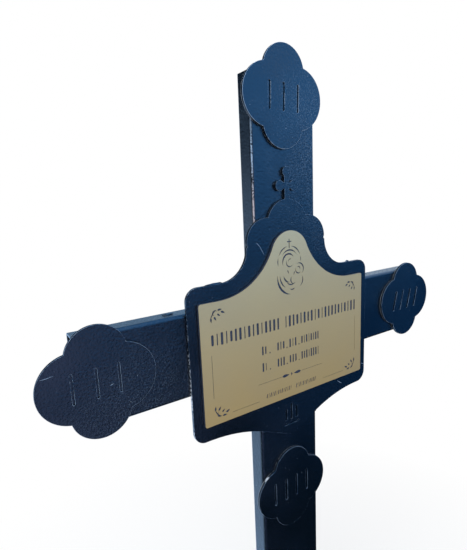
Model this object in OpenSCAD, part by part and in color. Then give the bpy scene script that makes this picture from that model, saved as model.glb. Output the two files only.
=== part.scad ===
// Metal grave cross: a welded cross of rectangular steel tube with four-lobed end plates,
// a shaped plaque at the crossing and a bell-topped nameplate on it.
// Millimetres, +Z up, the front faces -Y, and the origin is the middle of the post's foot.

/* [Tube] */
// Width of the rectangular tube, seen from the front
tube_w = 80; // [70:1:100]
// Depth of the rectangular tube, front to back
tube_d = 20; // [16:1:30]
// Wall thickness of the tube
tube_wall = 2; // [1.5:0.5:2.5]
// Outer radius of the tube's long corners
tube_corner_r = 3; // [3:0.5:6]

/* [Cross] */
// Height of the arms' centre line above the ground
arm_height = 700; // [400:10:1000]
// Height of the post's top end above the arms' centre line
post_rise = 254; // [240:1:300]
// Distance from the post's centre line to the open end of each arm
arm_reach = 216; // [196:1:250]

/* [Sheet plates] */
// Thickness of the sheet that the plates are cut from
sheet_t = 3; // [2:0.5:4]
// Overall width and height of a four-lobed medallion
medallion_size = 96; // [90:1:110]
// Radius of a medallion's two side lobes
side_lobe_r = 29.5; // [26:0.5:32]
// Radius of a medallion's upper and lower lobes
upright_lobe_r = 25; // [23:0.5:30]
// How far the top medallion's centre lies inside the post's open end
top_inset = 21; // [10:1:36]
// How far each side medallion's centre lies inside the arm's open end
side_inset = 16.5; // [8:0.5:30]
// Clear space between the plaque's lower point and the lower medallion
lower_gap = 17.5; // [4:0.5:60]

/* [Strokes] */
// Height of the upright strokes sunk into the plates
stroke_h = 26; // [14:0.5:28]
// Depth of the strokes
stroke_depth = 1.2; // [0.6:0.1:1.5]

/* [Plaque] */
// Width of the plaque
plaque_w = 238.4; // [196:0.2:288]
// Height of the plaque's shoulders above the arms' centre line
shoulder_rise = 63; // [60:0.5:76]
// Depth of the plaque's lower corners below the arms' centre line
foot_drop = 89; // [83:0.5:100]
// Depth of the plaque's lower point below its lower corners
point_h = 31; // [20:0.5:44]
// Radius of the plaque's four outer corners
plaque_corner_r = 12.5; // [8:0.5:16]
// Where the slanted edges of the point, drawn on straight, meet the lower edge: a share of its half-width
point_share = 0.66; // [0.55:0.01:0.9]
// Half the width of the plaque's neck, between its two hollow curves
neck_half_w = 51.5; // [48:0.5:56]
// Radius of the hollow curve between a shoulder and the neck
neck_curve_r = 30; // [26:0.5:33]
// Radius of the crown's middle lobe
crown_lobe_r = 26; // [24:0.5:30]
// Height of the crown's top above the plaque's shoulders
crown_h = 74.3; // [70:0.1:82]
// Radius of the crown's two side lobes
crown_side_r = 23.5; // [21:0.5:26]
// Radius of the small nick under each side lobe
nick_r = 1.8; // [1:0.2:3]

/* [Finial] */
// Height of the small cross on top of the plaque's crown
finial_h = 31.4; // [26:0.2:38]
// Height of the small cross's bar above the crown
finial_bar_rise = 13; // [11:0.2:16]
// Width of the small cross across its round ends
finial_w = 28.6; // [24:0.2:34]
// Width of the small cross's bars
finial_bar = 6.2; // [5:0.2:8]
// Radius of the small cross's round ends
bud_r = 5.2; // [4:0.1:6]

/* [Nameplate] */
// Border of plaque left clear beside the nameplate
side_border = 10.7; // [6:0.1:20]
// Border of plaque left clear above the nameplate's shoulders
shoulder_border = 15.2; // [8:0.1:20]
// Border of plaque left clear above the nameplate's rounded top
crown_border = 31.5; // [24:0.1:40]
// Border of plaque left clear below the nameplate
foot_border = 16.2; // [8:0.1:24]
// Thickness of the nameplate
nameplate_t = 3; // [1.5:0.5:5]
// Radius of the nameplate's rounded top
bell_top_r = 24; // [18:0.5:28]
// Flat shoulder of the nameplate beside its bell, on each side
bell_shoulder_w = 21.8; // [8:0.1:30]
// Radius of the nameplate's four corners
nameplate_corner_r = 2.4; // [1:0.2:4]

/* [Hidden] */
$fn = 96;
paint = [0.05, 0.08, 0.12];
gold = [0.67, 0.62, 0.48];

// Front faces, counted along -Y
tube_front = tube_d / 2;
sheet_front = tube_front + sheet_t;
nameplate_front = sheet_front + nameplate_t;

// Heights and depths from the arms' centre line
crown_rise = shoulder_rise + crown_h;
point_drop = foot_drop + point_h;
nameplate_shoulder = shoulder_rise - shoulder_border;
nameplate_rise = crown_rise - crown_border;
nameplate_foot = foot_drop - foot_border;
nameplate_w = plaque_w - 2 * side_border;

// A stroke is [place across, lean in degrees, width]. All of a row lean alike, so they form no letters
top_row = [[-17.5, 0, 3], [-0.5, 0, 3], [17.5, 0, 2.4]];
left_row = [[-21, 0, 2], [-2, 0, 2], [16.5, 0, 2]];
right_row = [[-21.5, -14, 3], [-7.5, -14, 1.8], [7, -14, 3], [21.5, -14, 2.4]];
lower_row = [[-25, 0, 2.4], [-9.5, 0, 3], [5.5, 0, 2.4], [21, 0, 3]];

// The top medallion was set by hand, a little to the left and turned by a few degrees
top_set_x = -1.5;
top_turn = -2;

// Three small candles over a base line, on the plaque below the nameplate: [place across, height]
candles = [[-7.5, 14], [0, 19], [7.5, 14]];
candle_w = 3;
candle_gap = 10.2;
candle_foot = -nameplate_foot - candle_gap - max([for (c = candles) c[1]]);
candle_base_w = 22;
candle_base_t = 1.7;
candle_base_drop = 4.5;

// A rectangle with round corners, centred
module round_rect(w, h, r) {
    square([w, h - 2 * r], center = true);
    square([w - 2 * r, h], center = true);
    for (x = [-1, 1], y = [-1, 1])
        translate([x * (w / 2 - r), y * (h / 2 - r)])
            circle(r);
}

// The tube's section, across and front to back
module tube_section() {
    difference() {
        round_rect(tube_w, tube_d, tube_corner_r);
        round_rect(tube_w - 2 * tube_wall, tube_d - 2 * tube_wall, tube_corner_r - tube_wall);
    }
}

// Turns a drawing seen from the front into a sheet whose front face is at front
module sheet(front, t) {
    translate([0, t - front, 0])
        rotate([90, 0, 0])
            linear_extrude(height = t)
                children();
}

// One arm, pointing right, from the post's side to its open end
module arm() {
    translate([tube_w / 2, 0, arm_height])
        rotate([90, 0, 90])
            linear_extrude(height = arm_reach - tube_w / 2)
                rotate(90)
                    tube_section();
}

// A slot with round ends, upright and then leant by lean degrees
module stroke(h, w, lean) {
    rotate(lean) {
        square([w, h - w], center = true);
        for (s = [-1, 1])
            translate([0, s * (h - w) / 2])
                circle(d = w, $fn = 32);
    }
}

// A row of plain strokes
module stroke_row(row) {
    for (s = row)
        translate([s[0], 0])
            stroke(stroke_h, s[2], s[1]);
}

// The outline of a four-lobed plate, centred
module four_lobes() {
    side_reach = medallion_size / 2 - side_lobe_r;
    upright_reach = medallion_size / 2 - upright_lobe_r;
    polygon([[side_reach, 0], [0, upright_reach], [-side_reach, 0], [0, -upright_reach]]);
    for (s = [-1, 1]) {
        translate([s * side_reach, 0])
            circle(side_lobe_r);
        translate([0, s * upright_reach])
            circle(upright_lobe_r);
    }
}

// A medallion with its row of strokes sunk into the front, centred on x and z
module medallion(x, z, row, turn = 0) {
    translate([x, 0, z])
        rotate([0, -turn, 0])
            difference() {
                sheet(sheet_front, sheet_t)
                    four_lobes();
                sheet(sheet_front + 1, stroke_depth + 1)
                    stroke_row(row);
            }
}

// The small cross with round ends that stands on the crown
module finial() {
    cross_z = crown_rise + finial_bar_rise;
    foot = crown_rise - crown_lobe_r / 2;
    top = crown_rise + finial_h - bud_r;
    translate([-finial_bar / 2, foot])
        square([finial_bar, top - foot]);
    translate([0, cross_z])
        square([finial_w - 2 * bud_r, finial_bar], center = true);
    translate([0, top])
        circle(bud_r);
    for (s = [-1, 1])
        translate([s * (finial_w / 2 - bud_r), cross_z])
            circle(bud_r);
}

// The plaque's lower edge: a hollow curve from each corner runs into the slanted edge of the point
module plaque_point() {
    corner_x = plaque_w / 2 - plaque_corner_r;
    bend_x = corner_x * point_share;
    slope = atan(point_h / bend_x);
    run = corner_x - bend_x;
    curve_r = run / tan(slope / 2);
    touch_x = bend_x - run * cos(slope);
    touch_z = -foot_drop - run * sin(slope);
    lap = 5;
    difference() {
        polygon([
            [-corner_x, lap - foot_drop], [-corner_x, -foot_drop], [-touch_x, touch_z], [0, -point_drop],
            [touch_x, touch_z], [corner_x, -foot_drop], [corner_x, lap - foot_drop]
        ]);
        for (s = [-1, 1])
            translate([s * corner_x, -foot_drop - curve_r])
                circle(curve_r, $fn = 360);
    }
}

// The crown: one middle lobe and two side lobes over the neck
module crown() {
    side_x = neck_half_w - crown_side_r - 0.5;
    neck_top = shoulder_rise + neck_curve_r;
    side_z = neck_top + nick_r * 2;
    difference() {
        union() {
            translate([0, crown_rise - crown_lobe_r])
                circle(crown_lobe_r);
            for (s = [-1, 1])
                translate([s * side_x, side_z])
                    circle(crown_side_r);
            translate([-neck_half_w, 0])
                square([2 * neck_half_w, neck_top]);
            translate([-side_x, 0])
                square([2 * side_x, side_z + crown_side_r / 2]);
        }
        for (s = [-1, 1])
            translate([s * (neck_half_w + 0.5), neck_top + nick_r])
                circle(nick_r, $fn = 32);
    }
}

// The hollow curve between the right shoulder and the neck
module neck_curve() {
    lap = 5;
    difference() {
        translate([neck_half_w - lap, shoulder_rise - lap])
            square(neck_curve_r + lap);
        translate([neck_half_w + neck_curve_r, shoulder_rise + neck_curve_r])
            circle(neck_curve_r);
    }
}

module plaque_outline() {
    height = shoulder_rise + foot_drop;
    translate([0, shoulder_rise - height / 2])
        round_rect(plaque_w, height, plaque_corner_r);
    plaque_point();
    crown();
    neck_curve();
    mirror([1, 0])
        neck_curve();
    finial();
}

// Strokes of the small candles and the line they stand on
module candle_strokes() {
    for (c = candles)
        translate([c[0], candle_foot + c[1] / 2])
            stroke(c[1], candle_w, 0);
    translate([0, candle_foot - candle_base_drop])
        stroke(candle_base_w, candle_base_t, 90);
}

// The nameplate's outline: a plain rectangle under a bell
module nameplate_outline() {
    height = nameplate_shoulder + nameplate_foot;
    top_z = nameplate_rise - bell_top_r;
    // The hollow flank touches the flat shoulder at flank_x and the rounded top at [meet_x, meet_z]
    flank_x = nameplate_w / 2 - bell_shoulder_w;
    bell_h = top_z - nameplate_shoulder;
    flank_r = (flank_x * flank_x + bell_h * bell_h - bell_top_r * bell_top_r) / (2 * (bell_h + bell_top_r));
    flank_z = nameplate_shoulder + flank_r;
    meet = bell_top_r / (bell_top_r + flank_r);
    meet_x = flank_x * meet;
    meet_z = top_z + (flank_z - top_z) * meet;
    lap = 5;
    translate([0, nameplate_shoulder - height / 2])
        round_rect(nameplate_w, height, nameplate_corner_r);
    translate([0, top_z])
        circle(bell_top_r);
    difference() {
        polygon([
            [-flank_x, nameplate_shoulder - lap], [flank_x, nameplate_shoulder - lap],
            [flank_x, nameplate_shoulder], [meet_x, meet_z], [-meet_x, meet_z], [-flank_x, nameplate_shoulder]
        ]);
        for (s = [-1, 1])
            translate([s * flank_x, flank_z])
                circle(flank_r, $fn = 180);
    }
}

module post() {
    color(paint)
        linear_extrude(height = arm_height + post_rise)
            tube_section();
}

module right_arm() {
    color(paint)
        arm();
}

module left_arm() {
    color(paint)
        mirror([1, 0, 0])
            arm();
}

module top_medallion() {
    color(paint)
        medallion(top_set_x, arm_height + post_rise - top_inset, top_row, top_turn);
}

module left_medallion() {
    color(paint)
        medallion(side_inset - arm_reach, arm_height, left_row);
}

module right_medallion() {
    color(paint)
        medallion(arm_reach - side_inset, arm_height, right_row);
}

module lower_medallion() {
    color(paint)
        medallion(0, arm_height - point_drop - lower_gap - medallion_size / 2, lower_row);
}

module plaque() {
    color(paint)
        translate([0, 0, arm_height])
            difference() {
                sheet(sheet_front, sheet_t)
                    plaque_outline();
                sheet(sheet_front + 1, stroke_depth + 1)
                    candle_strokes();
            }
}

module nameplate() {
    color(gold)
        translate([0, 0, arm_height])
            sheet(nameplate_front, nameplate_t)
                nameplate_outline();
}

post();
left_arm();
right_arm();
top_medallion();
left_medallion();
right_medallion();
lower_medallion();
plaque();
nameplate();
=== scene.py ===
"""A metal grave cross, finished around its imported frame.

Metres, +Z up. The front faces -Y, and the middle of the post's foot is the origin.
"""
import math
import random

import bmesh
import bpy
from mathutils import Matrix, Vector, noise
from mathutils.geometry import delaunay_2d_cdt


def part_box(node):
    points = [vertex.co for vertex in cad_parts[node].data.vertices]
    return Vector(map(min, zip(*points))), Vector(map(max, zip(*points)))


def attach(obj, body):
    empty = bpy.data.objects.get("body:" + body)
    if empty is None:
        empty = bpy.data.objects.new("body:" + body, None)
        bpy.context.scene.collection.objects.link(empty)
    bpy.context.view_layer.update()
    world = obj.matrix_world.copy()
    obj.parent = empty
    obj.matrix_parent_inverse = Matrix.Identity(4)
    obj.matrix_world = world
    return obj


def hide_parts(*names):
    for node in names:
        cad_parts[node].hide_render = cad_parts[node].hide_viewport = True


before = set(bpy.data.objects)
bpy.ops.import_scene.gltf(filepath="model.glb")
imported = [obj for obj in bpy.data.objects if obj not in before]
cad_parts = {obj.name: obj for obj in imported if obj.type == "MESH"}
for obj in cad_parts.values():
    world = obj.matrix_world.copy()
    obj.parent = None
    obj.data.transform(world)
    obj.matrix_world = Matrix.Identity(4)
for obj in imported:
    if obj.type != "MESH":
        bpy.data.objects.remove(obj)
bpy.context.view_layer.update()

MM = 0.001
SEED = 7

# Places taken from the frame
POST_LOW, POST_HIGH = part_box("post")
ARM_LOW, ARM_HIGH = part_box("right_arm")
PLAQUE_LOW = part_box("plaque")[0]
NAMEPLATE_LOW, NAMEPLATE_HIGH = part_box("nameplate")
ARM_Z = (ARM_LOW.z + ARM_HIGH.z) / 2
TUBE_FRONT = POST_LOW.y
TUBE_BACK = POST_HIGH.y
SHEET_FRONT = PLAQUE_LOW.y
NAMEPLATE_FRONT = NAMEPLATE_LOW.y


def from_crossing(x_mm, z_mm, y=SHEET_FRONT):
    """A point given in millimetres across and up from the crossing of post and arms."""
    return Vector((x_mm * MM, y, ARM_Z + z_mm * MM))


# ---------------------------------------------------------------- node helpers

def feed(tree, socket, value):
    """Links a value that is itself a socket, and sets any other on the socket."""
    if isinstance(value, bpy.types.NodeSocket):
        tree.links.new(value, socket)
    else:
        socket.default_value = value


def add_node(tree, kind, inputs=None, **settings):
    """Adds a node with its settings, then feeds its inputs."""
    made = tree.nodes.new(kind)
    for name, value in settings.items():
        setattr(made, name, value)
    for key, value in (inputs or {}).items():
        feed(tree, made.inputs[key], value)
    return made


def math_node(tree, operation, a, b, clamp=False):
    made = add_node(tree, "ShaderNodeMath", {0: a, 1: b}, operation=operation, use_clamp=clamp)
    return made.outputs[0]


def times(tree, a, b):
    return math_node(tree, "MULTIPLY", a, b)


def plus(tree, a, b):
    return math_node(tree, "ADD", a, b)


def minus(tree, a, b):
    return math_node(tree, "SUBTRACT", a, b)


def vector_node(tree, operation, a, b=(0.0, 0.0, 0.0)):
    """Works on two vectors. The outputs are called Vector and Value."""
    return add_node(tree, "ShaderNodeVectorMath", {0: a, 1: b}, operation=operation).outputs


def scaled(tree, place, x, y, z):
    return vector_node(tree, "MULTIPLY", place, (x, y, z))["Vector"]


def remap(tree, value, low, high, to_low=0.0, to_high=1.0):
    """Stretches low..high to to_low..to_high, and holds the ends."""
    made = add_node(tree, "ShaderNodeMapRange", {
        "Value": value, "From Min": low, "From Max": high, "To Min": to_low, "To Max": to_high})
    return made.outputs["Result"]


def mix_colour(tree, share, a, b):
    """Colour a, which turns into colour b as share goes from 0 to 1."""
    return add_node(tree, "ShaderNodeMix", {0: share, 6: a, 7: b}, data_type="RGBA").outputs[2]


def noise_at(tree, place, scale, detail=2.0, roughness=0.5):
    """Noise whose lumps are about 1/scale metres across."""
    made = add_node(tree, "ShaderNodeTexNoise", {
        "Vector": place, "Scale": scale, "Detail": detail, "Roughness": roughness})
    return made.outputs["Fac"]


def new_group(name, inputs, outputs):
    """Starts a node group and returns it with its inner input and output sockets."""
    group = bpy.data.node_groups.new(name, "ShaderNodeTree")
    for label, kind, default in inputs:
        socket = group.interface.new_socket(label, in_out="INPUT", socket_type="NodeSocket" + kind)
        socket.default_value = default
    for label, kind in outputs:
        group.interface.new_socket(label, in_out="OUTPUT", socket_type="NodeSocket" + kind)
    entry = group.nodes.new("NodeGroupInput")
    end = group.nodes.new("NodeGroupOutput")
    return group, entry.outputs, end.inputs


def use_group(tree, group, inputs):
    """Places a node group with its own values, and returns its outputs."""
    return add_node(tree, "ShaderNodeGroup", inputs, node_tree=group).outputs


# ------------------------------------------------------- effects of the finish

PEEL_SIZE = 460.0  # lumps of orange peel to a metre
PEEL_DEPTH = 0.6 * MM
STREAK_SHARE = 0.07  # how much the brush marks add to the peel


def make_paint_texture_group():
    """Orange peel and faint brush marks of thick enamel, calm in some places and rough in others."""
    group, given, made = new_group(
        "paint texture",
        [("Place", "Vector", (0, 0, 0)), ("Peel size", "Float", PEEL_SIZE),
         ("Peel depth", "Float", PEEL_DEPTH)],
        [("Normal", "Vector"), ("Peel glint", "Float")])
    peel = noise_at(group, given["Place"], given["Peel size"], detail=3.0, roughness=0.65)
    patches = remap(group, noise_at(group, given["Place"], 14.0, detail=1.0), 0.36, 0.58, 0.50, 1.0)
    streaks = noise_at(group, scaled(group, given["Place"], 60.0, 60.0, 900.0), 1.0)
    height = plus(group, times(group, peel, patches), times(group, streaks, STREAK_SHARE))
    bump = add_node(group, "ShaderNodeBump", {
        "Height": height, "Distance": given["Peel depth"], "Strength": 1.0})
    group.links.new(bump.outputs[0], made["Normal"])
    # Its second output paints glints: the colour turns lighter on the peaks of the peel.
    group.links.new(times(group, remap(group, peel, 0.42, 0.72), patches), made["Peel glint"])
    return group


def make_specks_group():
    """Scattered specks of dust, the finest of which also paint glints: one in a share of the cells of a
    loose pattern.
    """
    group, given, made = new_group(
        "dust and glint specks",
        [("Place", "Vector", (0, 0, 0)), ("Per metre", "Float", 150.0), ("Share", "Float", 0.1),
         ("Size", "Float", 0.1)],
        [("Mask", "Float")])
    cells = add_node(group, "ShaderNodeTexVoronoi", {
        "Vector": given["Place"], "Scale": given["Per metre"]}).outputs
    pick = add_node(group, "ShaderNodeSeparateColor", {0: cells["Color"]}).outputs
    chosen = math_node(group, "LESS_THAN", pick[0], given["Share"])
    reach = times(group, given["Size"], plus(group, pick[1], 0.4))
    near = math_node(group, "LESS_THAN", cells["Distance"], reach)
    strength = times(group, remap(group, pick[2], 0.0, 1.0, 0.25, 1.0), near)
    group.links.new(times(group, chosen, strength), made["Mask"])
    return group


def make_chips_group():
    """Broken patches, where paint along an edge is rubbed or holds dust."""
    group, given, made = new_group(
        "chipped",
        [("Place", "Vector", (0, 0, 0)), ("Per metre", "Float", 260.0), ("Share", "Float", 0.4)],
        [("Mask", "Float")])
    fine = noise_at(group, given["Place"], given["Per metre"], detail=3.0, roughness=0.7)
    broad = noise_at(group, given["Place"], 22.0, detail=1.0)
    amount = plus(group, times(group, fine, 0.6), times(group, broad, 0.4))
    line = minus(group, 0.72, times(group, given["Share"], 0.42))
    group.links.new(remap(group, minus(group, amount, line), 0.0, 0.05), made["Mask"])
    return group


def make_scratch_group():
    """A thin, slightly wavering scratch from one point to another, fading at its ends."""
    group, given, made = new_group(
        "scratch",
        [("Place", "Vector", (0, 0, 0)), ("From", "Vector", (0, 0, 0)), ("To", "Vector", (0, 0, 0)),
         ("Width", "Float", 0.4 * MM)],
        [("Mask", "Float")])
    waver = add_node(group, "ShaderNodeTexNoise", {"Vector": given["Place"], "Scale": 120.0})
    shift = vector_node(group, "SUBTRACT", waver.outputs["Color"], (0.5, 0.5, 0.5))["Vector"]
    shift = scaled(group, shift, 1.5 * MM, 0.0, 1.5 * MM)
    place = vector_node(group, "ADD", given["Place"], shift)["Vector"]
    along = vector_node(group, "SUBTRACT", given["To"], given["From"])["Vector"]
    away = vector_node(group, "SUBTRACT", place, given["From"])["Vector"]
    length = vector_node(group, "DOT_PRODUCT", along, along)["Value"]
    gone = vector_node(group, "DOT_PRODUCT", away, along)["Value"]
    share = math_node(group, "DIVIDE", gone, length, clamp=True)
    nearest = add_node(group, "ShaderNodeVectorMath", {0: along, "Scale": share}, operation="SCALE")
    off = vector_node(group, "DISTANCE", away, nearest.outputs[0])["Value"]
    ends = times(group, times(group, share, minus(group, 1.0, share)), 4.0)
    reach = times(group, given["Width"], plus(group, times(group, ends, 0.7), 0.3))
    group.links.new(remap(group, math_node(group, "DIVIDE", off, reach), 1.0, 0.4), made["Mask"])
    return group


def make_dry_spray_and_sheen_group():
    """Dry grains of paint that settled around one place, thinning out from it; on the upper right the
    same grains paint a sheen.
    """
    group, given, made = new_group(
        "dry spray and sheen",
        [("Place", "Vector", (0, 0, 0)), ("Centre", "Vector", (0, 0, 0)), ("Reach", "Float", 0.06)],
        [("Mask", "Float")])
    off = vector_node(group, "DISTANCE", given["Place"], given["Centre"])["Value"]
    share = math_node(group, "DIVIDE", off, given["Reach"])
    uneven = times(group, noise_at(group, given["Place"], 30.0), 0.8)
    share = plus(group, share, minus(group, uneven, 0.4))
    thick = remap(group, share, 1.0, 0.3)
    grains = noise_at(group, given["Place"], 780.0, detail=3.0, roughness=0.7)
    group.links.new(times(group, thick, remap(group, grains, 0.51, 0.67)), made["Mask"])
    return group


PAINT_TEXTURE = make_paint_texture_group()
SPECKS = make_specks_group()
CHIPS = make_chips_group()
SCRATCH = make_scratch_group()
DRY_SPRAY_AND_SHEEN = make_dry_spray_and_sheen_group()


# ------------------------------------------------------------------- materials

ENAMEL = (0.0009, 0.0026, 0.0056, 1.0)
# A paler enamel, reached at random and as a painted glint on the peaks of the peel.
ENAMEL_PALE_AND_GLINT = (0.0015, 0.0040, 0.0086, 1.0)
# A paler blue of thin paint; on the rims it also paints a highlight.
THIN_PAINT_AND_RIM_HIGHLIGHT = (0.022, 0.060, 0.125, 1.0)
# Pale grains of dry spray, which also paint a sheen on the upper right.
DRY_PAINT_AND_SHEEN = (0.125, 0.190, 0.270, 1.0)
DUST_AND_GLINT = (0.30, 0.36, 0.44, 1.0)
RUBBED = (0.19, 0.28, 0.40, 1.0)
# A pale rub; on the rims it also paints a highlight.
RUBBED_PALE_AND_RIM_HIGHLIGHT = (0.26, 0.36, 0.50, 1.0)
BARE_PRIMER = (0.42, 0.37, 0.40, 1.0)
PALE_SPATTER = (0.62, 0.66, 0.72, 1.0)

# Warmer at the foot and paler at the top: a painted reflection.
GOLD_AT_FOOT = (0.615, 0.430, 0.175, 1.0)
GOLD_AT_TOP = (0.64, 0.530, 0.300, 1.0)
GOLD_GRAIN = (0.34, 0.28, 0.17, 1.0)
GOLD_CLOUD = (0.42, 0.37, 0.26, 1.0)
GOLD_SPECK = (0.22, 0.19, 0.14, 1.0)
CORE_DARK = (0.018, 0.024, 0.040, 1.0)
CORE_PALE = (0.040, 0.050, 0.078, 1.0)

GLOSS_LOW = 0.10  # the enamel's roughness where it is smoothest, and where it is least smooth
GLOSS_HIGH = 0.20
ROUGHEST = 0.8

# The fine specks are dust and also painted glints in the orange peel.
FINE_DUST_AND_GLINTS = {"Per metre": 380.0, "Size": 0.11}
COARSE_DUST = {"Per metre": 150.0, "Size": 0.06}
GOLD_DUST = {"Per metre": 240.0, "Size": 0.12, "Share": 0.02}
EDGE_CHIPS = {"Per metre": 420.0}
CORNER_CHIPS = {"Per metre": 800.0, "Share": 0.60}


def new_material(name):
    material = bpy.data.materials.new(name)
    material.use_nodes = True
    tree = material.node_tree
    shader = tree.nodes["Principled BSDF"]
    place = add_node(tree, "ShaderNodeTexCoord").outputs["Object"]
    return material, tree, shader, place


def worn_corner_marks(tree, place, corner, low, high, reach):
    """Wear along an upright corner from low to high: its mask, and its colour from primer to paint."""
    split = add_node(tree, "ShaderNodeSeparateXYZ", {0: place}).outputs
    flat = add_node(tree, "ShaderNodeCombineXYZ", {"X": split["X"], "Y": split["Y"], "Z": 0.0})
    off = vector_node(tree, "DISTANCE", flat.outputs[0], corner)["Value"]
    band = remap(tree, off, reach, reach * 0.5)
    band = times(tree, band, remap(tree, split["Z"], low - 10 * MM, low))
    band = times(tree, band, remap(tree, split["Z"], high + 30 * MM, high))
    chips = use_group(tree, CHIPS, {"Place": place, **CORNER_CHIPS})
    tint = remap(tree, split["Z"], low + 20 * MM, high - 20 * MM)
    return times(tree, chips["Mask"], band), mix_colour(tree, tint, BARE_PRIMER, RUBBED_PALE_AND_RIM_HIGHLIGHT)


def enamel(name, thin=0.0, dull=0.0, gloss_index=1.7, speck_share=0.16, chipped=0.0, chip=RUBBED,
           scratches=(), spray_and_sheen=(), worn_corner=None):
    """Thick glossy blue-black enamel: orange peel, dust with painted glints among its finest specks,
    scratches and rubbed edges.

    thin is how far the colour turns to a paler blue: thin paint, and on the rims a painted highlight.
    dull is added to its roughness. chipped is the share of it that is rubbed or dusty, in the colour
    chip; on the rims the pale chips also paint a highlight.
    """
    material, tree, shader, place = new_material(name)
    texture = use_group(tree, PAINT_TEXTURE, {"Place": place, "Peel depth": PEEL_DEPTH})
    drift = remap(tree, noise_at(tree, place, 9.0, detail=3.0), 0.35, 0.65)
    # A paler tone at random, and a painted glint where the peel peaks.
    tone_and_glint = plus(tree, times(tree, drift, 0.35), times(tree, texture["Peel glint"], 0.65))
    colour = mix_colour(tree, tone_and_glint, ENAMEL, ENAMEL_PALE_AND_GLINT)
    if thin:
        colour = mix_colour(tree, thin, colour, THIN_PAINT_AND_RIM_HIGHLIGHT)
    gloss = noise_at(tree, place, 45.0)
    rough = remap(tree, gloss, 0.3, 0.7, GLOSS_LOW + dull, GLOSS_HIGH + dull)

    def cover(mask, paint, rougher, strength=1.0):
        """Lays something over the enamel where the mask is 1, and roughens it there."""
        nonlocal colour, rough
        if strength < 1.0:
            mask = times(tree, mask, strength)
        colour = mix_colour(tree, mask, colour, paint)
        rough = plus(tree, rough, times(tree, mask, rougher))

    # Dry grains; on the upper right they also paint a sheen.
    for centre, reach, strength in spray_and_sheen:
        dry = use_group(tree, DRY_SPRAY_AND_SHEEN, {"Place": place, "Centre": centre, "Reach": reach})
        cover(dry["Mask"], DRY_PAINT_AND_SHEEN, rougher=0.25, strength=strength)
    # Fine pale specks: dust, and painted glints in the orange peel.
    fine = use_group(tree, SPECKS, {"Place": place, "Share": speck_share, **FINE_DUST_AND_GLINTS})
    cover(fine["Mask"], DUST_AND_GLINT, rougher=0.3, strength=0.45)
    coarse = use_group(tree, SPECKS, {"Place": place, "Share": speck_share, **COARSE_DUST})
    cover(coarse["Mask"], DUST_AND_GLINT, rougher=0.4)
    if chipped:
        chips = use_group(tree, CHIPS, {"Place": place, "Share": chipped, **EDGE_CHIPS})
        cover(chips["Mask"], chip, rougher=0.3, strength=0.8)
    for start, end, width in scratches:
        mark = use_group(tree, SCRATCH, {"Place": place, "From": start, "To": end, "Width": width})
        cover(mark["Mask"], RUBBED, rougher=0.3, strength=0.75)
    if worn_corner:
        worn, primer = worn_corner_marks(tree, place, **worn_corner)
        cover(worn, primer, rougher=0.4)
    tree.links.new(colour, shader.inputs["Base Color"])
    tree.links.new(math_node(tree, "MINIMUM", rough, ROUGHEST), shader.inputs["Roughness"])
    tree.links.new(texture["Normal"], shader.inputs["Normal"])
    shader.inputs["IOR"].default_value = gloss_index
    return material


def gold_face_material():
    """Satin gold skin with a fine brushed grain from side to side, and a painted reflection that pales
    it towards the top.
    """
    material, tree, shader, place = new_material("gold_face")
    grain = noise_at(tree, scaled(tree, place, 60.0, 60.0, 7000.0), 1.0)
    clouds = noise_at(tree, place, 16.0)
    # A painted reflection: the gold turns paler towards its top.
    height = add_node(tree, "ShaderNodeSeparateXYZ", {0: place}).outputs["Z"]
    rise = remap(tree, height, NAMEPLATE_LOW.z, NAMEPLATE_HIGH.z)
    colour = mix_colour(tree, rise, GOLD_AT_FOOT, GOLD_AT_TOP)
    colour = mix_colour(tree, remap(tree, grain, 0.3, 0.7, 0.0, 0.12), colour, GOLD_GRAIN)
    colour = mix_colour(tree, remap(tree, clouds, 0.4, 0.75, 0.0, 0.2), colour, GOLD_CLOUD)
    specks = use_group(tree, SPECKS, {"Place": place, **GOLD_DUST})
    colour = mix_colour(tree, specks["Mask"], colour, GOLD_SPECK)
    bump = add_node(tree, "ShaderNodeBump", {
        "Height": grain, "Distance": 0.004 * MM, "Strength": 0.5})
    tree.links.new(colour, shader.inputs["Base Color"])
    tree.links.new(remap(tree, grain, 0.3, 0.7, 0.36, 0.46), shader.inputs["Roughness"])
    tree.links.new(bump.outputs[0], shader.inputs["Normal"])
    shader.inputs["Metallic"].default_value = 0.55
    return material


def dark_core_material():
    """The laminate's dark core: its edges, and what shows in the engraving."""
    material, tree, shader, place = new_material("dark_core")
    tone = noise_at(tree, place, 700.0)
    colour = mix_colour(tree, remap(tree, tone, 0.35, 0.65), CORE_DARK, CORE_PALE)
    tree.links.new(colour, shader.inputs["Base Color"])
    tree.links.new(remap(tree, tone, 0.3, 0.7, 0.35, 0.55), shader.inputs["Roughness"])
    return material


def scratch_list(marks):
    """Scratches, each given as its two ends and its width in millimetres from the crossing."""
    return [(from_crossing(*start), from_crossing(*end), width * MM) for start, end, width in marks]


def spray_and_sheen_list(places):
    """Dry spray and painted sheen, each given as a centre and a reach in millimetres, and a strength.
    """
    return [(from_crossing(*centre), reach * MM, strength) for centre, reach, strength in places]


PLAQUE_SCRATCHES = scratch_list([
    ((-40, 97), (-35, 92), 0.3),
    ((-36, 93), (-31.5, 84.5), 0.3),
    ((113, -67), (119, -69), 0.4),
    ((72, -78), (79, -83), 0.5),
])
LEFT_MEDALLION_SCRATCHES = scratch_list([
    ((-242, 14.2), (-232.5, 14.8), 0.35),
    ((-191.5, -5), (-188.5, -4), 0.4),
])
POST_SCRATCHES = scratch_list([
    ((21, -211), (31, -196), 0.35),
    ((24, -207), (33, -201), 0.25),
    ((5, -229), (16, -221), 0.3),
    ((-3, -232), (6, -229), 0.25),
])
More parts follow.
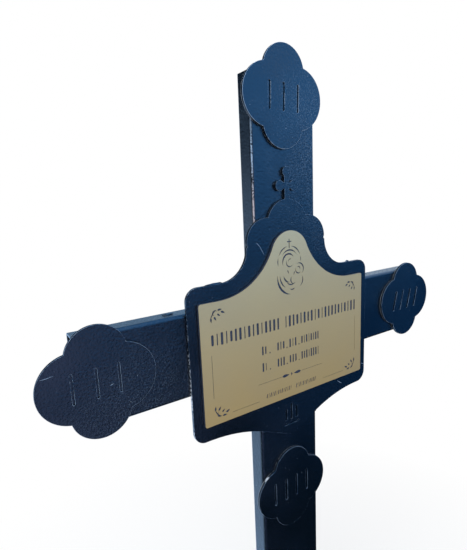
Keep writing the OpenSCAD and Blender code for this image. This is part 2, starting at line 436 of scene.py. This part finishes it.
# Lighter grains on the upper right of the post and plates: dry spray, and a painted sheen there.
UPPER_SPRAY_AND_SHEEN = spray_and_sheen_list([
    ((48, 215), 85, 0.42),
    ((50, 130), 80, 0.36),
])
LEFT_SPRAY = spray_and_sheen_list([
    ((-168, -48), 85, 0.24),
])

# Where the post's front left corner is worn, above the plaque
POST_WORN_CORNER = {
    "corner": Vector((POST_LOW.x + 1.0 * MM, TUBE_FRONT + 1.0 * MM, 0)),
    "low": ARM_Z + 118 * MM,
    "high": ARM_Z + 190 * MM,
    "reach": 1.05 * MM,
}

MATERIALS = {
    "tube": enamel("enamel_tube", speck_share=0.06, spray_and_sheen=LEFT_SPRAY),
    "post": enamel("enamel_post", speck_share=0.05, scratches=POST_SCRATCHES, spray_and_sheen=UPPER_SPRAY_AND_SHEEN,
                   worn_corner=POST_WORN_CORNER),
    "plaque": enamel("enamel_plaque", scratches=PLAQUE_SCRATCHES, spray_and_sheen=UPPER_SPRAY_AND_SHEEN),
    "left_medallion": enamel("enamel_left_medallion", speck_share=0.14,
                             scratches=LEFT_MEDALLION_SCRATCHES, spray_and_sheen=LEFT_SPRAY),
    "top_medallion": enamel("enamel_top_medallion", spray_and_sheen=UPPER_SPRAY_AND_SHEEN),
    "medallion": enamel("enamel_medallion"),
    "side": enamel("enamel_side", chipped=0.05, dull=0.25, gloss_index=1.4),
    "dusty_side": enamel("enamel_dusty_side", chipped=0.54, chip=PALE_SPATTER, speck_share=0.3),
    # The front rims: pale thin paint and pale chips that paint a highlight along the edges, with some
    # rubbed wear.
    "edge": enamel("enamel_rim_highlight", thin=1.0, chipped=0.66, chip=RUBBED_PALE_AND_RIM_HIGHLIGHT, speck_share=0.2),
    "back_edge": enamel("enamel_back_edge", thin=0.4, chipped=0.74, chip=PALE_SPATTER,
                        speck_share=0.3),
    "bare_spatter": enamel("bare_spatter", thin=1.0, chipped=0.9, chip=PALE_SPATTER),
    "weld": enamel("enamel_weld", chipped=0.3),
    "gold": gold_face_material(),
    "core": dark_core_material(),
}


# ----------------------------------------------------------------- sheet plates

TUBE_PAINT = {"post": "post", "left_arm": "tube", "right_arm": "tube"}
MEDALLION_PAINT = {
    "top_medallion": "top_medallion",
    "left_medallion": "left_medallion",
    "right_medallion": "medallion",
    "lower_medallion": "medallion",
}

FRONT_ROUND = 0.32 * MM
BACK_ROUND = 0.5 * MM
ROUND_STEPS = 3
DUSTY_BEYOND = 110 * MM  # the plaque's sides hold dust beyond this distance from its middle

SAME_POINT = 0.01 * MM
SAME_PLANE = 0.02 * MM
SAME_FACE = math.radians(0.5)
SHARP = math.radians(60)
CREASE = math.radians(35)


def piece_from_bmesh(name, bm, materials):
    mesh = bpy.data.meshes.new(name)
    bm.to_mesh(mesh)
    bm.free()
    piece = bpy.data.objects.new(name, mesh)
    bpy.context.scene.collection.objects.link(piece)
    for material in materials:
        mesh.materials.append(MATERIALS[material])
    return piece


def clean_copy(node):
    """A node's mesh as a bmesh, with its seams joined and its flat faces made whole."""
    bm = bmesh.new()
    bm.from_mesh(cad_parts[node].data)
    bmesh.ops.remove_doubles(bm, verts=bm.verts, dist=SAME_POINT)
    bmesh.ops.dissolve_limit(bm, angle_limit=SAME_FACE, verts=bm.verts, edges=bm.edges)
    bmesh.ops.recalc_face_normals(bm, faces=bm.faces)
    return bm


def is_rim(edge, y):
    """Is the edge a sharp one that lies in the plane at y?"""
    flat = all(abs(v.co.y - y) < SAME_PLANE for v in edge.verts)
    return flat and len(edge.link_faces) == 2 and edge.calc_face_angle() > SHARP


def softened_plate(node, material, dusty_beyond=math.inf):
    """The plate with its edges rounded as thick paint leaves them, a painted highlight on its front
    rims, and dust on its far sides.
    """
    slots = [material, "edge", "back_edge", "side", "dusty_side"]
    bm = clean_copy(node)
    low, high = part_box(node)
    for y, width, slot in ((low.y, FRONT_ROUND, "edge"), (high.y, BACK_ROUND, "back_edge")):
        rim = [e for e in bm.edges if is_rim(e, y)]
        bmesh.ops.bevel(bm, geom=rim, offset=width, offset_type="OFFSET", segments=ROUND_STEPS,
                        profile=0.5, affect="EDGES", clamp_overlap=True,
                        material=slots.index(slot))
    bm.normal_update()
    for face in bm.faces:
        faces_front_or_back = abs(face.normal.y) >= 0.999
        faces_sideways = abs(face.normal.y) < 0.05
        face.smooth = not faces_front_or_back
        if faces_sideways:
            dusty = abs(face.calc_center_median().x) > dusty_beyond
            face.material_index = slots.index("dusty_side" if dusty else "side")
    for edge in bm.edges:
        edge.smooth = len(edge.link_faces) == 2 and edge.calc_face_angle() < CREASE
    piece = piece_from_bmesh(node + "_painted", bm, slots)
    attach(piece, "root")
    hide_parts(node)


# ------------------------------------------------------------------- nameplate

SKIN = 0.3 * MM

# The engraving is laid out in millimetres across and up from the crossing. A row of strokes has a
# span, a height, and a stroke: the step from one to the next and the width of the thick ones
NAME_SPAN = (-98.6, 99.2)
NAME_GAP = (-15.0, -9.7)
NAME_HEIGHT = (5.5, 17.8)
NAME_STROKE = (5.2, 2.7)
DATE_SPANS = ((-40.5, -33.0), (-20.8, -9.4), (-4.4, 7.2), (12.6, 39.7))
DATE_DOTS = (-29.6, -6.9, 9.8)
DATE_HEIGHTS = ((-17.2, -7.8), (-35.0, -25.5))
DATE_STROKE = (3.6, 2.0)
FAREWELL_SPANS = ((-35.8, -1.0), (4.4, 34.2))
FAREWELL_HEIGHT = (-65.4, -60.2)
FAREWELL_STROKE = (2.4, 1.2)
FAREWELL_LEAN = 16
DOT_SIZE = 1.5
DOT_RISE = 0.8
DIVIDER_Z = -47.5
HAIRLINE = 0.4

ARC_WIDTH = 1.45  # every arc is cut this much wider than its listed width


def nameplate_loop():
    """The nameplate's outline as a list of points seen from the front."""
    bm = clean_copy("nameplate")
    rim = [e for e in bm.edges if is_rim(e, NAMEPLATE_FRONT)]
    start = rim[0].verts[0]
    here = rim[0].verts[1]
    loop = [start]
    used = {rim[0]}
    while here is not start:
        loop.append(here)
        edge = next(e for e in here.link_edges if e in rim and e not in used)
        used.add(edge)
        here = edge.other_vert(here)
    points = [(v.co.x, v.co.z) for v in loop]
    bm.free()
    return points


def turned(points, angle, x, z):
    """Points turned by an angle in degrees and moved to x, z."""
    c, s = math.cos(math.radians(angle)), math.sin(math.radians(angle))
    return [(x + c * px - s * pz, z + s * px + c * pz) for px, pz in points]


def bar(x, z, width, height, lean=0.0):
    """An upright stroke with cut corners, centred on x, z."""
    cut = min(width, height) * 0.25
    w, h = width / 2, height / 2
    corners = [(-w + cut, -h), (w - cut, -h), (w, -h + cut), (w, h - cut),
               (w - cut, h), (-w + cut, h), (-w, h - cut), (-w, -h + cut)]
    return turned(corners, -lean, x, z)


def leaf(x, z, length, width, angle):
    """A pointed leaf whose root is at x, z."""
    steps = 8

    def edge_point(i, side):
        return length * i / steps, side * width / 2 * math.sin(math.pi * (i / steps) ** 0.7)

    upper = [edge_point(i, 1) for i in range(steps)]
    lower = [edge_point(i, -1) for i in range(steps, 0, -1)]
    return turned(upper + lower, angle, x, z)


def crescent(x, z, radius, start, end, width):
    """An arc that swells from nothing to its full width and back, angles in degrees."""
    steps = max(6, int(abs(end - start) / 12))
    width = width * ARC_WIDTH
    outer, inner = [], []
    for i in range(steps + 1):
        share = i / steps
        angle = math.radians(start + (end - start) * share)
        half = width / 2 * math.sin(math.pi * share)
        outer.append((x + (radius + half) * math.cos(angle), z + (radius + half) * math.sin(angle)))
        if 0 < i < steps:
            inner.append((x + (radius - half) * math.cos(angle), z + (radius - half) * math.sin(angle)))
    return outer + inner[::-1]


def stroke_row(span, height, stroke, rng, lean=0.0, gap=(0.0, 0.0)):
    """A row of plain strokes, thick and thin. They all lean alike, so they form no letters."""
    left, right = span
    low, high = height
    pitch, thick = stroke
    shapes = []
    count = round((right - left) / pitch)
    step = (right - left) / count
    for i in range(count):
        x = left + step * (i + 0.5)
        width = thick if i % 2 == 0 else thick * rng.choice((0.45, 0.6, 0.85))
        tall = (high - low) * rng.choice((1.0, 1.0, 0.86, 0.94))
        if not gap[0] < x < gap[1]:
            shapes.append(bar(x, (low + high) / 2, width, tall, lean))
    return shapes


def corner_flourish(x, z, flip_x, flip_z, size):
    """A curled sprig of leaves that fills a corner; the corner itself is at x, z."""
    sprig = [
        crescent(13.5, -11.5, 12.4, 112, 176, 0.8),
        crescent(6.3, -3.4, 2.5, 20, 262, 0.7),
        leaf(9.0, -0.9, 5.0, 2.1, 4),
        leaf(12.6, -2.6, 5.0, 2.1, -26),
        leaf(5.0, -6.6, 4.6, 1.9, -58),
        leaf(1.6, -7.2, 4.8, 1.9, -84),
        leaf(8.6, -4.2, 4.2, 1.7, -40),
    ]
    return [[(x + flip_x * px * size, z + flip_z * pz * size) for px, pz in shape] for shape in sprig]


def emblem():
    """A plain cross above loose arcs that hint at a hooded shape and a small one, with no faces."""
    x, z = -1.2, 75.0
    return [
        bar(x, 92.6, 1.1, 9.6),
        bar(x, 94.7, 6.0, 1.1),
        crescent(x, z, 15.2, 98, 158, 0.9),
        crescent(x, z, 15.2, 162, 196, 0.8),
        crescent(x, z, 15.2, 82, 18, 0.9),
        crescent(x, z, 15.2, 14, -8, 0.7),
        crescent(x, z, 11.2, 30, 150, 1.0),
        crescent(x - 0.4, z - 1, 8.6, 60, 205, 1.3),
        crescent(x - 0.2, z + 0.5, 6.4, 25, 120, 0.8),
        crescent(x + 0.5, z - 1.5, 4.6, 140, 330, 0.8),
        crescent(x + 1.0, z - 0.5, 2.4, 40, 200, 0.6),
        crescent(11.2, 65, 6.4, 120, -62, 1.0),
        crescent(11.0, 65, 4.2, 150, 320, 0.8),
        crescent(10.6, 65.6, 2.2, -40, 140, 0.7),
        crescent(2.5, 59.5, 19.8, 172, 262, 1.7),
        crescent(1.5, 61.0, 15.6, 178, 238, 1.1),
        crescent(-0.5, 61.5, 8.8, 186, 262, 1.2),
        crescent(1.0, 57.5, 7.4, 205, 318, 1.0),
        crescent(4.5, 55.0, 4.4, 120, 262, 0.9),
        crescent(8.0, 54.0, 8.6, -62, 28, 1.0),
        crescent(2.0, 50.0, 5.2, 232, 318, 0.9),
        leaf(-4.0, 66.0, 5.0, 1.2, -70),
        leaf(5.6, 63.5, 4.4, 1.2, -112),
    ]


def divider():
    """Two hairlines, two leaves that point at each other and a diamond between them."""
    diamond = [(-1.1, 0), (0, -2.4), (1.1, 0), (0, 2.4)]
    return [
        bar(-30.2, DIVIDER_Z, 30.6, HAIRLINE),
        bar(28.4, DIVIDER_Z, 30.6, HAIRLINE),
        leaf(-14.2, DIVIDER_Z, 10.4, 3.4, 0),
        leaf(12.0, DIVIDER_Z, 10.4, 3.4, 180),
        turned(diamond, 0, -1.1, DIVIDER_Z),
    ]


def engraving():
    """Every engraved shape of the nameplate, in millimetres from the crossing."""
    rng = random.Random(SEED)
    shapes = emblem()
    shapes += stroke_row(NAME_SPAN, NAME_HEIGHT, NAME_STROKE, rng, gap=NAME_GAP)
    for height in DATE_HEIGHTS:
        for i, span in enumerate(DATE_SPANS):
            shapes += stroke_row(span, height, DATE_STROKE, rng)
            if i < len(DATE_DOTS):
                shapes.append(bar(DATE_DOTS[i], height[0] + DOT_RISE, DOT_SIZE, DOT_SIZE))
    shapes += divider()
    for span in FAREWELL_SPANS:
        shapes += stroke_row(span, FAREWELL_HEIGHT, FAREWELL_STROKE, rng, lean=FAREWELL_LEAN)
    for x, inward in ((-97.8, 1), (97.9, -1)):
        shapes.append(bar(x, -24.0, 0.45, 43.0))
        shapes += corner_flourish(x - inward * 0.4, 40.5, inward, 1, 1.0)
        shapes += corner_flourish(x - inward * 0.8, -66.4, inward, -1, 1.05)
        shapes.append(bar(x + inward * 36.5, -65.8, 33.0, HAIRLINE))
    return shapes


def counterclockwise(loop):
    """The loop's points in counterclockwise order."""
    area = sum(a[0] * b[1] - b[0] * a[1] for a, b in zip(loop, loop[1:] + loop[:1]))
    return loop if area > 0 else loop[::-1]


def cut_sheet(name, outline, holes, front, thickness, material):
    """A flat sheet that faces -Y: the outline, less every hole, with square walls."""
    points, loops = [], []
    for loop in [outline] + holes:
        loops.append(list(range(len(points), len(points) + len(loop))))
        points += [Vector(point) for point in counterclockwise(loop)]
    found = delaunay_2d_cdt(points, [], loops, 1, 1e-7, True)
    corners, triangles, sources = found[0], found[2], found[5]
    bm = bmesh.new()
    verts = [bm.verts.new((x, front, z)) for x, z in corners]
    for triangle, source in zip(triangles, sources):
        if set(source) == {0}:  # inside the outline alone, so in no hole
            bm.faces.new([verts[i] for i in triangle])
    bmesh.ops.delete(bm, geom=[v for v in bm.verts if not v.link_faces], context="VERTS")
    grown = bmesh.ops.extrude_face_region(bm, geom=bm.faces[:])
    for item in grown["geom"]:
        if isinstance(item, bmesh.types.BMVert):
            item.co.y += thickness
    bmesh.ops.recalc_face_normals(bm, faces=bm.faces)
    return piece_from_bmesh(name, bm, [material])


def make_nameplate():
    """A laminate: a dark core, and a gold skin that the engraving cuts through."""
    outline = nameplate_loop()
    holes = [[(x * MM, ARM_Z + z * MM) for x, z in shape] for shape in engraving()]
    face = cut_sheet("nameplate_face", outline, holes, NAMEPLATE_FRONT, SKIN, "gold")

    bm = clean_copy("nameplate")
    for vert in bm.verts:
        if abs(vert.co.y - NAMEPLATE_FRONT) < SAME_PLANE:
            vert.co.y += SKIN
    core = piece_from_bmesh("nameplate_core", bm, ["core"])
    for piece in (face, core):
        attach(piece, "root")
    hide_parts("nameplate")


# --------------------------------------------------------------- welds and slag

RIPPLE = 2.6 * MM  # from one ripple of a weld to the next
BEAD_SIDES = 12
LEFT_AND_RIGHT = ((-1, "left"), (1, "right"))

ARM_WELD_X = POST_HIGH.x + 0.2 * MM
ARM_WELD_RADIUS = 2.4 * MM
ARM_WELD_FRONT = TUBE_FRONT + 3 * MM
ARM_WELD_BACK = TUBE_BACK - 3.4 * MM
BACK_WELD_RADIUS = 1.55 * MM
BACK_WELD_Y = TUBE_BACK - 1.6 * MM
BACK_WELD_LOW = ARM_LOW.z + 2 * MM
BACK_WELD_HIGH = ARM_HIGH.z - 2 * MM


def middle_height(node):
    low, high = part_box(node)
    return (low.z + high.z) / 2


TACK_RADIUS = 1.9 * MM
TACK_Y = TUBE_FRONT + 0.4 * MM
OFF_TUBE = 0.3 * MM  # how far a tack's middle stands from the tube's side
POST_TACK_X = POST_HIGH.x + OFF_TUBE
# Each tack on the post's sides: its plate, how high its middle is, and its length
POST_TACKS = [
    ("top_medallion", middle_height("top_medallion"), 26 * MM),
    ("lower_medallion", middle_height("lower_medallion"), 24 * MM),
    ("plaque", PLAQUE_LOW.z + 40 * MM, 26 * MM),
]
ARM_TACK_HEIGHTS = ((ARM_HIGH.z + OFF_TUBE, "upper"), (ARM_LOW.z - OFF_TUBE, "lower"))
MEDALLION_TACK_X = ARM_HIGH.x - 22 * MM
MEDALLION_TACK_LENGTH = 22 * MM
PLAQUE_TACK_X = 88 * MM
PLAQUE_TACK_LENGTH = 24 * MM


def finish_small_piece(piece):
    """Smooths a weld or a lump, and gives it its body."""
    for polygon in piece.data.polygons:
        polygon.use_smooth = True
    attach(piece, "root")


def weld_bead(name, start, end, radius):
    """A rippled bead of weld from start to end, tapered at both ends and painted over."""
    start, end = Vector(start), Vector(end)
    along = (end - start).normalized()
    side = along.orthogonal().normalized()
    other = along.cross(side)
    length = (end - start).length
    rings = max(8, int(length / (RIPPLE / 6)))
    phase = random.Random(name).random()
    bm = bmesh.new()
    previous = None
    for i in range(rings + 1):
        share = i / rings
        ends = min(1.0, 6.0 * min(share, 1.0 - share) + 0.25) ** 0.5
        wave = ((share * length / RIPPLE + phase) % 1.0) ** 1.6
        wobble = noise.noise(Vector((share * length / MM * 0.2, phase * 50, 0)))
        r = radius * ends * (0.84 + 0.16 * wave + 0.10 * wobble)
        centre = start + along * (share * length)
        ring = []
        for k in range(BEAD_SIDES):
            a = 2 * math.pi * k / BEAD_SIDES
            out = side * math.cos(a) + other * math.sin(a)
            ring.append(bm.verts.new(centre + out * r))
        if previous:
            for k in range(BEAD_SIDES):
                after = (k + 1) % BEAD_SIDES
                bm.faces.new((previous[k], previous[after], ring[after], ring[k]))
        else:
            bm.faces.new(ring[::-1])
        previous = ring
    bm.faces.new(previous)
    bmesh.ops.recalc_face_normals(bm, faces=bm.faces)
    finish_small_piece(piece_from_bmesh(name, bm, ["weld"]))


def upright_tack(name, x, middle, length):
    """A short weld on the post's side, behind a plate."""
    weld_bead(name, (x, TACK_Y, middle - length / 2), (x, TACK_Y, middle + length / 2), TACK_RADIUS)


def level_tack(name, middle, z, length):
    """A short weld on the top or the underside of an arm, behind a plate."""
    weld_bead(name, (middle - length / 2, TACK_Y, z), (middle + length / 2, TACK_Y, z), TACK_RADIUS)


def make_arm_welds():
    """Beads where the arms meet the post: one up the back, one on top and one underneath."""
    for side, label in LEFT_AND_RIGHT:
        x = side * ARM_WELD_X
        foot = (x, BACK_WELD_Y, BACK_WELD_LOW)
        head = (x, BACK_WELD_Y, BACK_WELD_HIGH)
        weld_bead(f"{label}_arm_back_weld", foot, head, BACK_WELD_RADIUS)
        for z, place in ((ARM_HIGH.z, "top"), (ARM_LOW.z, "under")):
            front = (x, ARM_WELD_FRONT, z)
            back = (x, ARM_WELD_BACK, z)
            weld_bead(f"{label}_arm_{place}_weld", front, back, ARM_WELD_RADIUS)


def make_tacks():
    """Tacks that hold the plates to the tubes."""
    for node, middle, length in POST_TACKS:
        for side, label in LEFT_AND_RIGHT:
            upright_tack(f"{node}_{label}_tack", side * POST_TACK_X, middle, length)
    for side, label in LEFT_AND_RIGHT:
        for z, place in ARM_TACK_HEIGHTS:
            name = f"{label}_medallion_{place}_tack"
            level_tack(name, side * MEDALLION_TACK_X, z, MEDALLION_TACK_LENGTH)
    for side, label in LEFT_AND_RIGHT:
        for z, place in ARM_TACK_HEIGHTS:
            name = f"plaque_{label}_{place}_tack"
            level_tack(name, side * PLAQUE_TACK_X, z, PLAQUE_TACK_LENGTH)


def slag_lump(name, centre, size, seed, material="weld"):
    """A small lump of spatter or thick paint, rounded and uneven."""
    bm = bmesh.new()
    bmesh.ops.create_icosphere(bm, subdivisions=3, radius=1.0)
    for vert in bm.verts:
        rise = 1.0 + 0.35 * noise.noise(vert.co * 1.7 + Vector((seed * 9.1, 0, 0)))
        out = Vector((vert.co.x * size[0], vert.co.y * size[1], vert.co.z * size[2]))
        vert.co = Vector(centre) + out * rise
    finish_small_piece(piece_from_bmesh(name, bm, [material]))


MID_SHEET = SHEET_FRONT + 1.5 * MM
# Each bead of paint or slag, in millimetres: its place from the crossing, and how far it reaches
# from its middle
EDGE_BEADS = [
    ("shoulder_bead_left", (-88, 63.2), (9.5, 1.3, 1.3)),
    ("shoulder_bead_right", (89, 63.4), (2.6, 1.2, 1.3)),
    ("foot_bead_right", (36, -104), (2.4, 1.3, 1.6)),
    ("foot_bead_middle", (17, -112.2), (2.0, 1.2, 1.2)),
    ("foot_bead_left", (-36, -104.4), (2.6, 1.2, 1.1)),
]
# Each grain of spatter on the lower medallion's edge, in millimetres: its place, and its size
GRAINS = [
    ((-37.0, -161.8), 0.9),
    ((-35.6, -160.8), 1.1),
    ((-33.9, -160.4), 0.8),
    ((-38.0, -163.2), 0.6),
]
GRAIN_Y = MID_SHEET - 0.6 * MM
FIRST_GRAIN_SEED = 20
ARM_TOP_BEAD = Vector((-131 * MM, TUBE_BACK - 9 * MM, ARM_HIGH.z - 0.3 * MM))
ARM_TOP_BEAD_SIZE = (6 * MM, 2.6 * MM, 1.3 * MM)
ARM_TOP_BEAD_SEED = 40


def make_slag():
    """Spatter and paint beads that stand on the plates' edges and on the left arm."""
    for seed, (name, (x, z), size) in enumerate(EDGE_BEADS):
        slag_lump(name, from_crossing(x, z, MID_SHEET), [s * MM for s in size], seed)
    slag_lump("arm_top_bead", ARM_TOP_BEAD, ARM_TOP_BEAD_SIZE, ARM_TOP_BEAD_SEED)
    for i, ((x, z), size) in enumerate(GRAINS):
        shape = (size * 1.2 * MM, size * 0.9 * MM, size * MM)
        slag_lump(f"spatter_{i}", from_crossing(x, z, GRAIN_Y), shape, i + FIRST_GRAIN_SEED,
                  "bare_spatter")


# ------------------------------------------------------------- camera and light

CAMERA_PLACE = Vector((-0.2724, -0.3305, 0.8395))
CAMERA_HEADING = 32.80
CAMERA_DIP = 10.54
CAMERA_ROLL = 2.60
CAMERA_LENS = 26.76
CAMERA_SENSOR = 36.0


def make_camera():
    heading, dip, roll = (math.radians(a) for a in (CAMERA_HEADING, CAMERA_DIP, CAMERA_ROLL))
    level = math.cos(dip)
    ahead = Vector((math.sin(heading) * level, math.cos(heading) * level, -math.sin(dip)))
    right = ahead.cross(Vector((0, 0, 1))).normalized()
    down = ahead.cross(right)
    rolled_right = math.cos(roll) * right + math.sin(roll) * down
    rolled_down = -math.sin(roll) * right + math.cos(roll) * down
    data = bpy.data.cameras.new("camera")
    data.lens = CAMERA_LENS
    data.sensor_width = CAMERA_SENSOR
    data.clip_start = 0.01
    camera = bpy.data.objects.new("camera", data)
    turn = Matrix((rolled_right, -rolled_down, -ahead)).transposed().to_4x4()
    camera.matrix_world = Matrix.Translation(CAMERA_PLACE) @ turn
    bpy.context.scene.collection.objects.link(camera)
    bpy.context.scene.camera = camera


# Each light: its place, what it points at, how wide it is, its power and its colour
LIGHTS = {
    "key": ((-1.6, -1.2, 2.4), (0, 0, 0.7), 1.6, 40, (0.88, 0.95, 1.0)),
    "fill": ((1.8, -1.6, 1.4), (0, 0, 0.6), 1.8, 12, (1, 1, 1)),
    "rim": ((-0.8, 1.8, 2.2), (0, 0, 0.7), 1.4, 20, (1, 1, 1)),
}


def area_light(name, place, target, size, power, colour):
    """A soft round light that shines on the cross but isn't mirrored in its gloss."""
    data = bpy.data.lights.new(name, "AREA")
    data.shape = "DISK"
    data.size = size
    data.energy = power
    data.color = colour
    light = bpy.data.objects.new(name, data)
    light.location = place
    light.rotation_euler = (Vector(target) - Vector(place)).to_track_quat("-Z", "Y").to_euler()
    light.visible_glossy = False
    bpy.context.scene.collection.objects.link(light)


BACKGROUND = (1.0, 1.0, 1.0, 1)
SOFT_LIGHT = (0.95, 0.97, 1.0, 1)
SOFT_STRENGTH = 0.6

# What the gloss sees: a direction, how wide the patch is (as the dot product where it starts
# and where it is full), and its colour
SURROUNDINGS = [
    ((0.58, -0.42, 0.70), (0.40, 0.60), (0.23, 0.86, 2.08)),  # open sky, high on the right
    ((-0.05, -0.90, -0.38), (0.89, 0.975), (0.36, 0.50, 0.98)),  # pale ground in front
    ((0.85, -0.50, -0.10), (0.80, 0.97), (0.01, 0.10, 0.33)),  # dusk-blue band on the right
    ((0.74, -0.62, 0.15), (0.962, 0.996), (0.26, 0.96, 2.28)),  # a bright gap above that band
    ((-0.50, 0.60, -0.75), (0.52, 0.85), (0.60, 0.94, 1.45)),  # ground behind on the left
    ((0.25, 0.92, 0.30), (0.85, 0.98), (0.34, 0.58, 0.90)),  # sky low down behind
    ((-0.50, -0.50, 0.75), (0.70, 0.97), (1.3, 1.9, 2.8)),  # bright sky, high on the left
    ((0.84, 0.51, 0.16), (0.90, 0.98), (0.62, 0.78, 0.98)),  # sky behind on the right
    ((0.84, -0.15, 0.51), (0.90, 0.98), (0.75, 1.05, 1.55)),  # brighter sky on the right
]
ALL_ROUND = (0.004, 0.012, 0.023, 1)


def make_world():
    """Pale to the eye and soft to the floor; to the gloss, dim surroundings with bright patches."""
    world = bpy.data.worlds.new("studio")
    bpy.context.scene.world = world
    world.use_nodes = True
    tree = world.node_tree
    tree.nodes.clear()
    rays = add_node(tree, "ShaderNodeLightPath").outputs
    direction = add_node(tree, "ShaderNodeTexCoord").outputs["Generated"]
    mirrored = ALL_ROUND
    for towards, (start, full), colour in SURROUNDINGS:
        facing = vector_node(tree, "DOT_PRODUCT", direction, Vector(towards).normalized())
        patch = add_node(
            tree, "ShaderNodeMapRange",
            {"Value": facing["Value"], "From Min": start, "From Max": full},
            interpolation_type="SMOOTHSTEP")
        mirrored = mix_colour(tree, patch.outputs["Result"], mirrored, (*colour, 1))
    gloss = add_node(tree, "ShaderNodeBackground", {"Color": mirrored, "Strength": 1.0})
    soft = add_node(tree, "ShaderNodeBackground", {"Color": SOFT_LIGHT, "Strength": SOFT_STRENGTH})
    seen = add_node(tree, "ShaderNodeBackground", {"Color": BACKGROUND, "Strength": 1.0})
    unseen = add_node(tree, "ShaderNodeMixShader", {
        0: rays["Is Glossy Ray"], 1: soft.outputs[0], 2: gloss.outputs[0]})
    whole = add_node(tree, "ShaderNodeMixShader", {
        0: rays["Is Camera Ray"], 1: unseen.outputs[0], 2: seen.outputs[0]})
    out = add_node(tree, "ShaderNodeOutputWorld")
    tree.links.new(whole.outputs[0], out.inputs[0])


FLOOR_RADIUS = 40.0
FADE_FROM = 0.15  # the floor turns into the background between these distances from the post
FADE_TO = 0.9


def make_floor():
    """A pale round floor that turns into the background with distance, so it shows no edge."""
    bm = bmesh.new()
    bmesh.ops.create_circle(bm, cap_ends=True, segments=96, radius=FLOOR_RADIUS)
    mesh = bpy.data.meshes.new("floor")
    bm.to_mesh(mesh)
    bm.free()
    floor = bpy.data.objects.new("floor", mesh)
    bpy.context.scene.collection.objects.link(floor)
    material = bpy.data.materials.new("pale_floor")
    material.use_nodes = True
    tree = material.node_tree
    tree.nodes.clear()
    place = add_node(tree, "ShaderNodeTexCoord").outputs["Object"]
    away = vector_node(tree, "LENGTH", place)["Value"]
    near = add_node(tree, "ShaderNodeBsdfDiffuse", {"Color": (0.9, 0.9, 0.9, 1)})
    far = add_node(tree, "ShaderNodeEmission", {"Color": BACKGROUND, "Strength": 1.0})
    mixed = add_node(tree, "ShaderNodeMixShader", {
        0: remap(tree, away, FADE_FROM, FADE_TO), 1: near.outputs[0], 2: far.outputs[0]})
    out = add_node(tree, "ShaderNodeOutputMaterial")
    tree.links.new(mixed.outputs[0], out.inputs["Surface"])
    mesh.materials.append(material)
    floor.visible_glossy = False


def make_stage():
    make_world()
    make_floor()
    for name, settings in LIGHTS.items():
        area_light(name, *settings)
    bpy.context.scene.view_settings.view_transform = "Standard"


# ------------------------------------------------------------------------ scene

make_camera()
make_stage()
for tube, paint in TUBE_PAINT.items():
    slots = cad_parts[tube].data.materials
    slots.clear()
    slots.append(MATERIALS[paint])
for medallion, paint in MEDALLION_PAINT.items():
    softened_plate(medallion, paint)
softened_plate("plaque", "plaque", DUSTY_BEYOND)
make_nameplate()
make_arm_welds()
make_tacks()
make_slag()
